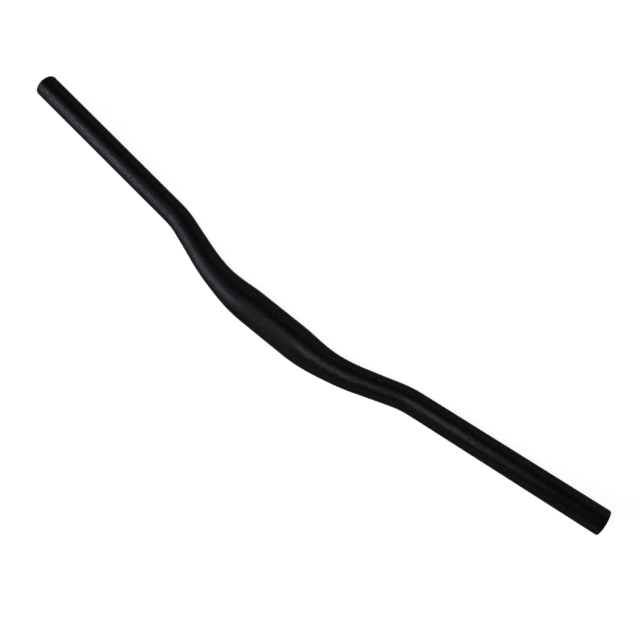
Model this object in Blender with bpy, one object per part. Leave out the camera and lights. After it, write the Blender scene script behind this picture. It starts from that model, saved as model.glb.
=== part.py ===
"""A riser handlebar for a bicycle, in metres, lying on its front as it comes to rest.

It is one butted aluminium tube, open at both ends. The tube is drawn straight first, wide in the
middle where a stem clamps it and narrow where the grips go. Then it is bent twice on each side: up
into the rise, and back and out into the grips.
"""

from dataclasses import dataclass
from math import asin, atan2, ceil, cos, hypot, pi, radians, sin, tan
from typing import Optional

import bmesh
import bpy
from mathutils import Matrix, Vector

# Reach of the bar from its middle to the centres of its ends, as held in a stem
WIDTH = 0.620
RISE = 0.038
BACKSWEEP = radians(7)
UPSWEEP = radians(5)

# Bends of the centreline, from the middle outwards
MIDDLE_STRAIGHT = 0.068
RISER_ANGLE = radians(18.2)
RISER_BEND_RADIUS = 0.180
GRIP_BEND_RADIUS = 0.072

# Outside of the tube, from the middle outwards: clamp, steep shoulder, slender neck, grip
CLAMP_DIAMETER = 0.0318
CLAMP_LENGTH = 0.047
SHOULDER_LENGTH = 0.0455
SHOULDER_DIAMETER = 0.0252
SHOULDER_TAPER = radians(2.2)
NECK_LENGTH = 0.067
GRIP_DIAMETER = 0.0222

# Wall of the tube, thicker in the middle, and the edges of its two open ends
CLAMP_WALL = 0.0028
GRIP_WALL = 0.0022
END_ROUNDING = 0.0010
BORE_CHAMFER = 0.0003

# Fineness of the mesh
SECTION_SIDES = 40
RING_SPACING = 0.007
ROUNDING_STEPS = 4
SHARPEST_SMOOTH_EDGE = radians(35)

RIGHT = Vector((1, 0, 0))


@dataclass
class Leg:
    """One stretch of the centreline: straight, or bent towards one side with a constant radius."""

    start: Vector
    along: Vector
    length: float
    side: Optional[Vector] = None
    radius: float = 0.0

    def at(self, distance):
        """The point this far along the leg, and the direction there."""
        if self.side is None:
            return self.start + self.along * distance, self.along
        angle = distance / self.radius
        forwards = self.along * self.radius * sin(angle)
        sideways = self.side * self.radius * (1 - cos(angle))
        return self.start + forwards + sideways, self.along * cos(angle) + self.side * sin(angle)

    def end(self):
        return self.at(self.length)


def bend(start, along, new_direction, radius):
    """The leg that turns from one direction to another."""
    angle = along.angle(new_direction)
    side = (new_direction - along * along.dot(new_direction)).normalized()
    return Leg(start, along, radius * angle, side, radius)


def centreline():
    """The legs of the right half, in the riding position: X to the right, Y forwards and Z up.

    The middle and the bends are fixed, and the two straights beside the grip bend take up what is
    left of the width and the rise.
    """
    riser_direction = Vector((cos(RISER_ANGLE), 0, sin(RISER_ANGLE)))
    grip_direction = Vector((1, -tan(BACKSWEEP), tan(UPSWEEP))).normalized()
    middle = Leg(Vector((0, 0, 0)), RIGHT, MIDDLE_STRAIGHT / 2)
    riser_bend = bend(*middle.end(), riser_direction, RISER_BEND_RADIUS)
    grip_bend = bend(riser_bend.end()[0], riser_direction, grip_direction, GRIP_BEND_RADIUS)
    so_far = grip_bend.end()[0]
    left_over = Vector((WIDTH / 2 - so_far.x, RISE - so_far.z))
    shares = Matrix(((riser_direction.x, grip_direction.x), (riser_direction.z, grip_direction.z)))
    riser_length, grip_length = shares.inverted() @ left_over
    riser = Leg(riser_bend.end()[0], riser_direction, riser_length)
    grip_bend.start = riser.end()[0]
    grip = Leg(grip_bend.end()[0], grip_direction, grip_length)
    return [middle, riser_bend, riser, grip_bend, grip]


def on_centreline(legs, distance):
    """The centreline's point and direction, this far from the middle of the bar."""
    for leg in legs[:-1]:
        if distance < leg.length:
            return leg.at(distance)
        distance -= leg.length
    return legs[-1].at(distance)


def blend(share, start, end, start_fall=0.0, end_fall=0.0):
    """A cubic from start to end, which would fall by the given amounts if it went on straight."""
    rest = 1 - share
    level = start * rest * rest * (1 + 2 * share) + end * share * share * (1 + 2 * rest)
    return level - start_fall * share * rest * rest + end_fall * share * share * rest


def outer_radius(distance):
    """Radius of the outside, this far along the tube from its middle."""
    distance -= CLAMP_LENGTH / 2
    if distance <= 0:
        return CLAMP_DIAMETER / 2
    if distance < SHOULDER_LENGTH:
        fall = SHOULDER_LENGTH * tan(SHOULDER_TAPER)
        return blend(distance / SHOULDER_LENGTH, CLAMP_DIAMETER / 2, SHOULDER_DIAMETER / 2, end_fall=fall)
    distance -= SHOULDER_LENGTH
    if distance < NECK_LENGTH:
        fall = NECK_LENGTH * tan(SHOULDER_TAPER)
        return blend(distance / NECK_LENGTH, SHOULDER_DIAMETER / 2, GRIP_DIAMETER / 2, start_fall=fall)
    return GRIP_DIAMETER / 2


def bore_radius(distance):
    """Radius of the inside, this far along the tube from its middle."""
    share = (distance - CLAMP_LENGTH / 2) / (SHOULDER_LENGTH + NECK_LENGTH)
    wall = blend(min(max(share, 0), 1), CLAMP_WALL, GRIP_WALL)
    return outer_radius(distance) - wall


def ring_distances(legs):
    """Distances from the middle at which the tube has a ring of points: close in tapers and bends."""
    marks = [CLAMP_LENGTH / 2, CLAMP_LENGTH / 2 + SHOULDER_LENGTH + NECK_LENGTH]
    travelled = 0
    for leg in legs[:-1]:
        travelled += leg.length
        marks.append(travelled)
    marks.sort()
    distances = [marks[0]]
    for low, high in zip(marks, marks[1:]):
        steps = ceil((high - low) / RING_SPACING)
        distances += [low + (high - low) * step / steps for step in range(1, steps + 1)]
    return distances


def wall_section(legs):
    """The straight tube's wall, cut along its length: a closed outline of (distance, radius) points."""
    end = sum(leg.length for leg in legs)
    rings = ring_distances(legs)
    outside = [(distance, outer_radius(distance)) for distance in rings]
    inside = [(distance, bore_radius(distance)) for distance in reversed(rings)]
    edge = []
    for step in range(ROUNDING_STEPS + 1):
        angle = pi / 2 * step / ROUNDING_STEPS
        reach = end - END_ROUNDING * (1 - sin(angle))
        edge.append((reach, outer_radius(end) - END_ROUNDING * (1 - cos(angle))))
    edge.append((end, bore_radius(end) + BORE_CHAMFER))
    edge.append((end - BORE_CHAMFER, bore_radius(end)))
    right = outside + edge + inside
    left = [(-distance, radius) for distance, radius in reversed(right)]
    return right + left


def bent(legs, point):
    """Where a point of the straight tube lies once the tube is bent. The left half mirrors the right."""
    centre, direction = on_centreline(legs, abs(point.x))
    turn = RIGHT.rotation_difference(direction)
    placed = centre + turn @ Vector((0, point.y, point.z))
    return Vector((-placed.x, placed.y, placed.z)) if point.x < 0 else placed


def resting_turn(legs):
    """The turn about X from the riding position that lays the bar on its front.

    It then rests on three places: the bottom of the clamp and the bottom of each elbow.
    """
    tilts = []
    for distance in ring_distances(legs):
        centre, _ = on_centreline(legs, distance)
        lift = CLAMP_DIAMETER / 2 - outer_radius(distance)
        reach = hypot(centre.y, centre.z)
        if reach > lift > 0:
            tilts.append(asin(lift / reach) - atan2(centre.y, centre.z))
    return -pi / 2 - min(tilts)


def tube_mesh(legs):
    """The bar's mesh: its wall turned about the X axis, and then bent."""
    shape = bmesh.new()
    corners = [shape.verts.new((distance, 0, radius)) for distance, radius in wall_section(legs)]
    for corner, following in zip(corners, corners[1:] + corners[:1]):
        shape.edges.new((corner, following))
    bmesh.ops.spin(
        shape,
        geom=shape.verts[:] + shape.edges[:],
        cent=(0, 0, 0),
        axis=RIGHT,
        angle=2 * pi,
        steps=SECTION_SIDES,
        use_merge=True,
    )
    for vertex in shape.verts:
        vertex.co = bent(legs, vertex.co)
    bmesh.ops.recalc_face_normals(shape, faces=shape.faces[:])
    mesh = bpy.data.meshes.new("handlebar")
    shape.to_mesh(mesh)
    shape.free()
    mesh.shade_smooth()
    mesh.set_sharp_from_angle(angle=SHARPEST_SMOOTH_EDGE)
    return mesh


def black_anodised_aluminium():
    material = bpy.data.materials.new("black_anodised_aluminium")
    material.use_nodes = True
    surface = material.node_tree.nodes["Principled BSDF"]
    surface.inputs["Base Color"].default_value = (0.022, 0.022, 0.024, 1)
    surface.inputs["Metallic"].default_value = 0.6
    surface.inputs["Roughness"].default_value = 0.42
    return material


def main():
    for old in list(bpy.data.objects):
        bpy.data.objects.remove(old, do_unlink=True)
    legs = centreline()
    handlebar = bpy.data.objects.new("handlebar", tube_mesh(legs))
    handlebar.data.materials.append(black_anodised_aluminium())
    handlebar.rotation_euler.x = resting_turn(legs)
    bpy.context.scene.collection.objects.link(handlebar)


main()
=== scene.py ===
"""Looks of the riser handlebar: its tube at full roundness, its finish, floor, lamps and camera.

Everything is in metres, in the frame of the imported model: the origin is the centre of the stem
clamp, +X runs along the clamp to the rider's right, +Y is the way the rise goes, and +Z is up.
"""

from dataclasses import dataclass
from math import asin, atan2, ceil, cos, hypot, pi, radians, sin, tan
from typing import Optional
import bmesh
import bpy
from mathutils import Matrix, Vector


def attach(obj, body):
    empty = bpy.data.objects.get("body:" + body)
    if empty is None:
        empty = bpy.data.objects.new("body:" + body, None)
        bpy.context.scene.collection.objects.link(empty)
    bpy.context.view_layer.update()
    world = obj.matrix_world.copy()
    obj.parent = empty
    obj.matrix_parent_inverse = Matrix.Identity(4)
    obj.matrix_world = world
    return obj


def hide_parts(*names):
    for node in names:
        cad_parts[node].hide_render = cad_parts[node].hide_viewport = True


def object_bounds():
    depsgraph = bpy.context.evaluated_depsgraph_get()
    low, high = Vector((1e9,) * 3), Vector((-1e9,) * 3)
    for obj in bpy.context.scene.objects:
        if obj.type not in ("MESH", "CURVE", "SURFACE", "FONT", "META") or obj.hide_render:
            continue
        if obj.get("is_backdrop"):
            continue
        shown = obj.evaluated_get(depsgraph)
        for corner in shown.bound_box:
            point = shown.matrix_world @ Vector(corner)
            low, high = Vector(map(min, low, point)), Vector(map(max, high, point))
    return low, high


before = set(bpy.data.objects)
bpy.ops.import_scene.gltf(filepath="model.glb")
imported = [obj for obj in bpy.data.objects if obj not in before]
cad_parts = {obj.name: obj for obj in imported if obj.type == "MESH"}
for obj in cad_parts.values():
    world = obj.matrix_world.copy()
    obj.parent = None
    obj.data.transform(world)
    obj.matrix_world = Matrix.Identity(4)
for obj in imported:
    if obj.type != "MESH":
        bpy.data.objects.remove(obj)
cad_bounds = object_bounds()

# The bar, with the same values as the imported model
WIDTH = 0.620
RISE = 0.038
BACKSWEEP = radians(7)
UPSWEEP = radians(5)
MIDDLE_STRAIGHT = 0.068
RISER_ANGLE = radians(18.2)
RISER_BEND_RADIUS = 0.180
GRIP_BEND_RADIUS = 0.072
CLAMP_DIAMETER = 0.0318
CLAMP_LENGTH = 0.047
SHOULDER_LENGTH = 0.0455
SHOULDER_DIAMETER = 0.0252
SHOULDER_TAPER = radians(2.2)
NECK_LENGTH = 0.067
GRIP_DIAMETER = 0.0222
CLAMP_WALL = 0.0028
GRIP_WALL = 0.0022
END_ROUNDING = 0.0010
BORE_CHAMFER = 0.0003

# Fineness of the mesh that is rendered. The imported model's rings are farther apart.
SECTION_SIDES = 112
RING_SPACING = 0.0025
PACKED_RING_SPACING = 0.007
ROUNDING_STEPS = 8
SHARPEST_SMOOTH_EDGE = radians(35)

# Material slots of the tube, whose outside has slot 0
INSIDE_SLOT = 1
CUT_END_SLOT = 2

# Colour of the tube's reflections at its rims
RIM_TINT = "#B8B8B8"

# Where most values of a noise texture lie, and the sockets of a Mix node that mixes colours
NOISE_MIDDLE = {"From_Min": 0.3, "From_Max": 0.7}
FIRST_COLOUR, SECOND_COLOUR, MIXED_COLOUR = 6, 7, 2

# Camera: where it stands, the point it looks at, which way is up in the picture, and its lens
CAMERA_PLACE = Vector((0.1378, 0.0397, 0.5992))
CAMERA_AIM = Vector((0.0308, 0.0287, 0.0))
PICTURE_UP = Vector((-0.6112, 0.7858, 0.0946))
CAMERA_LENS_MM = 39.375
SENSOR_WIDTH_MM = 36

# Floor: flat under the bar, then curved up all round into a low wall
FLOOR_FLAT_RADIUS = 2.2
FLOOR_CURVE_RADIUS = 0.8
FLOOR_CURVE_STEPS = 12
FLOOR_SIDES = 96
WALL_HEIGHT = 1.9
MERGE_DISTANCE = 0.00001

# White of the floor: what it shows by itself, and the colour that the lamps light
PAPER_GLOW = 0.94
PAPER_COLOUR = "#5C5C5C"

# Lamps: the point that they face, which way is up for them, and the light of the room
LAMP_AIM = Vector((0, 0.01, 0))
LAMP_UP = Vector((0, 0.3, 1))
ROOM_GLOW = 0.05

RIGHT = Vector((1, 0, 0))
UP = Vector((0, 0, 1))


# Shape of the bar

@dataclass
class Leg:
    """One stretch of the centreline: straight, or bent towards one side with a constant radius."""

    start: Vector
    along: Vector
    length: float
    side: Optional[Vector] = None
    radius: float = 0.0

    def at(self, distance):
        """The point this far along the leg, and the direction there."""
        if self.side is None:
            return self.start + self.along * distance, self.along
        angle = distance / self.radius
        forwards = self.along * self.radius * sin(angle)
        sideways = self.side * self.radius * (1 - cos(angle))
        return self.start + forwards + sideways, self.along * cos(angle) + self.side * sin(angle)

    def end(self):
        return self.at(self.length)


def bend(start, along, new_direction, radius):
    """The leg that turns from one direction to another."""
    angle = along.angle(new_direction)
    side = (new_direction - along * along.dot(new_direction)).normalized()
    return Leg(start, along, radius * angle, side, radius)


def centreline():
    """The legs of the right half, in the riding position: X to the right, Y forwards and Z up."""
    riser_direction = Vector((cos(RISER_ANGLE), 0, sin(RISER_ANGLE)))
    grip_direction = Vector((1, -tan(BACKSWEEP), tan(UPSWEEP))).normalized()
    middle = Leg(Vector((0, 0, 0)), RIGHT, MIDDLE_STRAIGHT / 2)
    riser_bend = bend(*middle.end(), riser_direction, RISER_BEND_RADIUS)
    grip_bend = bend(riser_bend.end()[0], riser_direction, grip_direction, GRIP_BEND_RADIUS)
    so_far = grip_bend.end()[0]
    left_over = Vector((WIDTH / 2 - so_far.x, RISE - so_far.z))
    shares = Matrix(((riser_direction.x, grip_direction.x), (riser_direction.z, grip_direction.z)))
    riser_length, grip_length = shares.inverted() @ left_over
    riser = Leg(riser_bend.end()[0], riser_direction, riser_length)
    grip_bend.start = riser.end()[0]
    grip = Leg(grip_bend.end()[0], grip_direction, grip_length)
    return [middle, riser_bend, riser, grip_bend, grip]


def on_centreline(legs, distance):
    """The centreline's point and direction, this far from the middle of the bar."""
    for leg in legs[:-1]:
        if distance < leg.length:
            return leg.at(distance)
        distance -= leg.length
    return legs[-1].at(distance)


def blend(share, start, end, start_fall=0.0, end_fall=0.0):
    """A cubic from start to end, which would fall by the given amounts if it went on straight."""
    rest = 1 - share
    level = start * rest * rest * (1 + 2 * share) + end * share * share * (1 + 2 * rest)
    return level - start_fall * share * rest * rest + end_fall * share * share * rest


def outer_radius(distance):
    """Radius of the outside, this far along the tube from its middle."""
    distance -= CLAMP_LENGTH / 2
    if distance <= 0:
        return CLAMP_DIAMETER / 2
    if distance < SHOULDER_LENGTH:
        fall = SHOULDER_LENGTH * tan(SHOULDER_TAPER)
        share = distance / SHOULDER_LENGTH
        return blend(share, CLAMP_DIAMETER / 2, SHOULDER_DIAMETER / 2, end_fall=fall)
    distance -= SHOULDER_LENGTH
    if distance < NECK_LENGTH:
        fall = NECK_LENGTH * tan(SHOULDER_TAPER)
        share = distance / NECK_LENGTH
        return blend(share, SHOULDER_DIAMETER / 2, GRIP_DIAMETER / 2, start_fall=fall)
    return GRIP_DIAMETER / 2


def bore_radius(distance):
    """Radius of the inside, this far along the tube from its middle."""
    share = (distance - CLAMP_LENGTH / 2) / (SHOULDER_LENGTH + NECK_LENGTH)
    wall = blend(min(max(share, 0), 1), CLAMP_WALL, GRIP_WALL)
    return outer_radius(distance) - wall


def ring_distances(legs, spacing):
    """Distances from the middle at which the tube has a ring of points.

    There is one at each change of the centreline and at each end of the tapers, and more between.
    """
    marks = [CLAMP_LENGTH / 2, CLAMP_LENGTH / 2 + SHOULDER_LENGTH + NECK_LENGTH]
    travelled = 0
    for leg in legs[:-1]:
        travelled += leg.length
        marks.append(travelled)
    marks.sort()
    distances = [marks[0]]
    for low, high in zip(marks, marks[1:]):
        steps = ceil((high - low) / spacing)
        distances += [low + (high - low) * step / steps for step in range(1, steps + 1)]
    return distances


def wall_section(legs):
    """The straight tube's wall, cut along it: a closed line of (distance, radius) points."""
    end = sum(leg.length for leg in legs)
    rings = ring_distances(legs, RING_SPACING)
    outside = [(distance, outer_radius(distance)) for distance in rings]
    inside = [(distance, bore_radius(distance)) for distance in reversed(rings)]
    edge = []
    for step in range(ROUNDING_STEPS + 1):
        angle = pi / 2 * step / ROUNDING_STEPS
        reach = end - END_ROUNDING * (1 - sin(angle))
        edge.append((reach, outer_radius(end) - END_ROUNDING * (1 - cos(angle))))
    edge.append((end, bore_radius(end) + BORE_CHAMFER))
    edge.append((end - BORE_CHAMFER, bore_radius(end)))
    right = outside + edge + inside
    left = [(-distance, radius) for distance, radius in reversed(right)]
    return right + left


def bent(legs, point):
    """Where a point of the straight tube lies once the tube is bent.

    The left half mirrors the right.
    """
    centre, direction = on_centreline(legs, abs(point.x))
    turn = RIGHT.rotation_difference(direction)
    placed = centre + turn @ Vector((0, point.y, point.z))
    return Vector((-placed.x, placed.y, placed.z)) if point.x < 0 else placed


def resting_turn(legs):
    """The turn about X from the riding position that lays the bar on its front."""
    tilts = []
    for distance in ring_distances(legs, PACKED_RING_SPACING):
        centre, _ = on_centreline(legs, distance)
        lift = CLAMP_DIAMETER / 2 - outer_radius(distance)
        reach = hypot(centre.y, centre.z)
        if reach > lift > 0:
            tilts.append(asin(lift / reach) - atan2(centre.y, centre.z))
    return -pi / 2 - min(tilts)


def unroll(shape):
    """Gives the straight tube a UV map in metres: U along the tube and V around it."""
    layer = shape.loops.layers.uv.new("unrolled")
    for face in shape.faces:
        middle = face.calc_center_median()
        around = atan2(middle.z, middle.y)
        for loop in face.loops:
            place = loop.vert.co
            apart = atan2(place.z, place.y) - around
            apart = (apart + pi) % (2 * pi) - pi
            loop[layer].uv = (place.x, (around + apart) * GRIP_DIAMETER / 2)


def handlebar_tube(outside, inside, cut_end):
    """The bar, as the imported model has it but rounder: its wall turned about X, and then bent."""
    legs = centreline()
    end = sum(leg.length for leg in legs)
    shape = bmesh.new()
    corners = [shape.verts.new((distance, 0, radius)) for distance, radius in wall_section(legs)]
    for corner, following in zip(corners, corners[1:] + corners[:1]):
        shape.edges.new((corner, following))
    bmesh.ops.spin(
        shape,
        geom=shape.verts[:] + shape.edges[:],
        cent=(0, 0, 0),
        axis=RIGHT,
        angle=2 * pi,
        steps=SECTION_SIDES,
        use_merge=True,
    )
    bmesh.ops.recalc_face_normals(shape, faces=shape.faces[:])
    unroll(shape)
    for face in shape.faces:
        middle = face.calc_center_median()
        radius = hypot(middle.y, middle.z)
        if abs(middle.x) > end - BORE_CHAMFER / 4:
            face.material_index = CUT_END_SLOT
        elif radius < bore_radius(abs(middle.x)) + GRIP_WALL / 3:
            face.material_index = INSIDE_SLOT
    rest = Matrix.Rotation(resting_turn(legs), 3, "X")
    for vertex in shape.verts:
        vertex.co = rest @ bent(legs, vertex.co)
    mesh = bpy.data.meshes.new("handlebar_tube")
    shape.to_mesh(mesh)
    shape.free()
    mesh.shade_smooth()
    mesh.set_sharp_from_angle(angle=SHARPEST_SMOOTH_EDGE)
    for material in (outside, inside, cut_end):
        mesh.materials.append(material)
    tube = bpy.data.objects.new("handlebar_tube", mesh)
    bpy.context.scene.collection.objects.link(tube)
    return tube


# Materials

def linear(hex_colour):
    """A colour written as sRGB hex, as the linear colour that a shader takes."""
    channels = [int(hex_colour[place:place + 2], 16) / 255 for place in (1, 3, 5)]
    return [c / 12.92 if c <= 0.04045 else ((c + 0.055) / 1.055) ** 2.4 for c in channels] + [1]


def new_material(name):
    material = bpy.data.materials.new(name)
    material.use_nodes = True
    return material, material.node_tree, material.node_tree.nodes["Principled BSDF"]


def add_node(tree, kind, settings=None, **inputs):
    """Adds a node. An input is set to a value, or linked where it is given an output socket."""
    node = tree.nodes.new(kind)
    for name, value in (settings or {}).items():
        setattr(node, name, value)
    for name, value in inputs.items():
        socket = node.inputs[name.replace("_", " ")]
        if isinstance(value, bpy.types.NodeSocket):
            tree.links.new(value, socket)
        else:
            socket.default_value = value
    return node


def per_mm(size_mm):
    """The noise scale whose features are about this many millimetres across."""
    return 1000 / size_mm


def bead_blasted_black_anodising():
    """Black dyed aluminium oxide over bead-blasted metal: near-black, with soft and dim highlights.

    The dye takes most of the metal's reflection, and the blasted grain spreads what is left. It
    also dims the rims, where a polished black would shine, so their tint is a pale grey.
    """
    material, tree, surface = new_material("bead_blasted_black_anodising")
    surface.inputs["Metallic"].default_value = 1.0
    surface.inputs["Specular Tint"].default_value = linear(RIM_TINT)
    place = add_node(tree, "ShaderNodeTexCoord").outputs["Object"]
    # Blasted grain is 0.1 to 0.2 mm. It is drawn coarser, because a pixel of the render is 1 mm.
    grain = add_node(
        tree, "ShaderNodeTexNoise", Vector=place, Scale=per_mm(1.1), Detail=4.0, Roughness=0.65
    ).outputs["Fac"]
    speckle = add_node(
        tree, "ShaderNodeTexNoise", Vector=place, Scale=per_mm(1.6), Detail=3.0, Roughness=0.6
    ).outputs["Fac"]
    clouds = add_node(
        tree, "ShaderNodeTexNoise", Vector=place, Scale=per_mm(34), Detail=3.0, Roughness=0.5
    ).outputs["Fac"]
    mottling = add_node(
        tree, "ShaderNodeMapRange", Value=clouds, To_Min=0, To_Max=0.15, **NOISE_MIDDLE
    )
    grit = add_node(
        tree,
        "ShaderNodeMapRange",
        Value=speckle,
        From_Min=0.35,
        From_Max=0.65,
        To_Min=0,
        To_Max=0.85,
    )
    unevenness = add_node(tree, "ShaderNodeMath", {"operation": "ADD"})
    tree.links.new(mottling.outputs["Result"], unevenness.inputs[0])
    tree.links.new(grit.outputs["Result"], unevenness.inputs[1])
    dye = add_node(tree, "ShaderNodeMix", {"data_type": "RGBA"})
    dye.inputs[FIRST_COLOUR].default_value = linear("#0E0E0E")
    dye.inputs[SECOND_COLOUR].default_value = linear("#1D1D1E")
    tree.links.new(unevenness.outputs[0], dye.inputs[0])
    tree.links.new(dye.outputs[MIXED_COLOUR], surface.inputs["Base Color"])
    dullness = add_node(
        tree, "ShaderNodeMapRange", Value=speckle, To_Min=0.46, To_Max=0.40, **NOISE_MIDDLE
    )
    tree.links.new(dullness.outputs["Result"], surface.inputs["Roughness"])
    bump = add_node(tree, "ShaderNodeBump", Height=grain, Strength=1.0, Distance=0.00004)
    tree.links.new(bump.outputs["Normal"], surface.inputs["Normal"])
    return material


def drawn_bore():
    """The inside: dull dark grey, with streaks along the tube from the drawing mandrel."""
    material, tree, surface = new_material("drawn_black_bore")
    unrolled = add_node(tree, "ShaderNodeUVMap", {"uv_map": "unrolled"}).outputs["UV"]
    stretch = add_node(tree, "ShaderNodeMapping", Vector=unrolled)
    stretch.inputs["Scale"].default_value = (0.03, 1, 1)
    streaks = add_node(
        tree, "ShaderNodeTexNoise", Vector=stretch.outputs["Vector"], Scale=per_mm(0.5), Detail=3.0
    ).outputs["Fac"]
    surface.inputs["Metallic"].default_value = 1.0
    surface.inputs["Specular Tint"].default_value = linear(RIM_TINT)
    surface.inputs["Base Color"].default_value = linear("#38383A")
    dullness = add_node(
        tree, "ShaderNodeMapRange", Value=streaks, To_Min=0.48, To_Max=0.62, **NOISE_MIDDLE
    )
    tree.links.new(dullness.outputs["Result"], surface.inputs["Roughness"])
    bump = add_node(tree, "ShaderNodeBump", Height=streaks, Strength=0.3, Distance=0.00005)
    tree.links.new(bump.outputs["Normal"], surface.inputs["Normal"])
    return material


def sawn_and_faced_end():
    """The flat ring at each end: faced in a lathe before anodising, so a little brighter."""
    material, tree, surface = new_material("faced_black_end")
    place = add_node(tree, "ShaderNodeTexCoord").outputs["Object"]
    grain = add_node(
        tree, "ShaderNodeTexNoise", Vector=place, Scale=per_mm(0.25), Detail=2.0
    ).outputs["Fac"]
    surface.inputs["Metallic"].default_value = 1.0
    surface.inputs["Specular Tint"].default_value = linear(RIM_TINT)
    surface.inputs["Base Color"].default_value = linear("#202021")
    dullness = add_node(
        tree, "ShaderNodeMapRange", Value=grain, To_Min=0.32, To_Max=0.42, **NOISE_MIDDLE
    )
    tree.links.new(dullness.outputs["Result"], surface.inputs["Roughness"])
    bump = add_node(tree, "ShaderNodeBump", Height=grain, Strength=0.25, Distance=0.00003)
    tree.links.new(bump.outputs["Normal"], surface.inputs["Normal"])
    return material


# Stage

def seen_directly(tree):
    """1 for camera, glossy and transmission rays, which see the white floor, and 0 for others."""
    light_path = tree.nodes.new("ShaderNodeLightPath")
    either = light_path.outputs["Is Camera Ray"]
    for name in ("Is Glossy Ray", "Is Transmission Ray"):
        largest = add_node(tree, "ShaderNodeMath", {"operation": "MAXIMUM"})
        tree.links.new(either, largest.inputs[0])
        tree.links.new(light_path.outputs[name], largest.inputs[1])
        either = largest.outputs[0]
    return either


def white_paper():
    """Seamless white: it looks white by itself, and a little of its own colour keeps the shadow."""
    material, tree, _ = new_material("white_paper")
    tree.nodes.clear()
    output = tree.nodes.new("ShaderNodeOutputMaterial")
    paper = add_node(tree, "ShaderNodeBsdfDiffuse", Color=linear(PAPER_COLOUR))
    glow = add_node(tree, "ShaderNodeEmission", Color=(1, 1, 1, 1))
    strength = add_node(tree, "ShaderNodeMath", {"operation": "MULTIPLY"})
    tree.links.new(seen_directly(tree), strength.inputs[0])
    strength.inputs[1].default_value = PAPER_GLOW
    tree.links.new(strength.outputs[0], glow.inputs["Strength"])
    both = tree.nodes.new("ShaderNodeAddShader")
    tree.links.new(paper.outputs[0], both.inputs[0])
    tree.links.new(glow.outputs[0], both.inputs[1])
    tree.links.new(both.outputs[0], output.inputs["Surface"])
    return material


def floor_and_wall(level):
    """A round cove: a flat disc that the bar lies on, curved up into a low wall."""
    shape = bmesh.new()
    profile = [(0, 0), (FLOOR_FLAT_RADIUS, 0)]
    for step in range(1, FLOOR_CURVE_STEPS + 1):
        angle = pi / 2 * step / FLOOR_CURVE_STEPS
        out = FLOOR_FLAT_RADIUS + FLOOR_CURVE_RADIUS * sin(angle)
        profile.append((out, FLOOR_CURVE_RADIUS * (1 - cos(angle))))
    profile.append((FLOOR_FLAT_RADIUS + FLOOR_CURVE_RADIUS, WALL_HEIGHT))
    corners = [shape.verts.new((out, 0, level + height)) for out, height in profile]
    for corner, following in zip(corners, corners[1:]):
        shape.edges.new((corner, following))
    bmesh.ops.spin(
        shape,
        geom=shape.verts[:] + shape.edges[:],
        cent=(0, 0, 0),
        axis=UP,
        angle=2 * pi,
        steps=FLOOR_SIDES,
        use_merge=True,
    )
    bmesh.ops.remove_doubles(shape, verts=shape.verts[:], dist=MERGE_DISTANCE)
    above_the_bar = UP * FLOOR_FLAT_RADIUS
    for face in shape.faces:
        face.normal_update()
        if face.normal.dot(above_the_bar - face.calc_center_median()) < 0:
            face.normal_flip()
    mesh = bpy.data.meshes.new("cove")
    shape.to_mesh(mesh)
    shape.free()
    mesh.shade_smooth()
    mesh.materials.append(white_paper())
    cove = bpy.data.objects.new("cove", mesh)
    bpy.context.scene.collection.objects.link(cove)
    cove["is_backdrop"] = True


def facing(place, aim, up):
    """The placing of a camera or lamp that looks from place to aim."""
    back = (place - aim).normalized()
    across = up.cross(back).normalized()
    turned = Matrix((across, back.cross(across), back)).transposed().to_4x4()
    return Matrix.Translation(place) @ turned


def lamp(name, place, width, height, watts, colour):
    """A soft box that faces the middle of the bar, and that the camera doesn't see."""
    light = bpy.data.lights.new(name, "AREA")
    light.shape = "RECTANGLE"
    light.size = width
    light.size_y = height
    light.energy = watts
    light.color = linear(colour)[:3]
    box = bpy.data.objects.new(name, light)
    box.matrix_world = facing(Vector(place), LAMP_AIM, LAMP_UP)
    box.visible_camera = False
    bpy.context.scene.collection.objects.link(box)


def lamps():
    """Two low ones at the left give that arm its violet band. The others are nearly neutral."""
    lamp("high_box_left", (-0.98, -1.30, 1.48), 0.15, 0.15, 9.2, "#FAFAFF")
    lamp("low_window_left", (-0.64, -0.60, 0.45), 0.27, 0.78, 8.4, "#E8E2FF")
    lamp("low_box_left", (-0.55, -0.15, 0.31), 0.15, 0.15, 1.15, "#F6EFFF")
    lamp("small_box_above", (0.07, -0.085, 0.61), 0.10, 0.23, 2.0, "#F8FFF2")
    lamp("long_strip_above", (-0.34, 0.19, 1.74), 0.15, 1.30, 4.3, "#FBFCFF")
    world = bpy.data.worlds.new("dim_room")
    world.use_nodes = True
    background = world.node_tree.nodes["Background"]
    background.inputs["Color"].default_value = (1, 1, 1, 1)
    background.inputs["Strength"].default_value = ROOM_GLOW
    bpy.context.scene.world = world


def camera():
    data = bpy.data.cameras.new("camera")
    data.sensor_width = SENSOR_WIDTH_MM
    data.lens = CAMERA_LENS_MM
    placed = bpy.data.objects.new("camera", data)
    placed.matrix_world = facing(CAMERA_PLACE, CAMERA_AIM, PICTURE_UP)
    bpy.context.scene.collection.objects.link(placed)
    bpy.context.scene.camera = placed


def main():
    camera()
    tube = handlebar_tube(bead_blasted_black_anodising(), drawn_bore(), sawn_and_faced_end())
    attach(tube, "root")
    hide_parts("handlebar")
    floor_and_wall(min(cad_bounds[0].z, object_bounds()[0].z))
    lamps()
    bpy.context.scene.view_settings.view_transform = "Standard"


main()
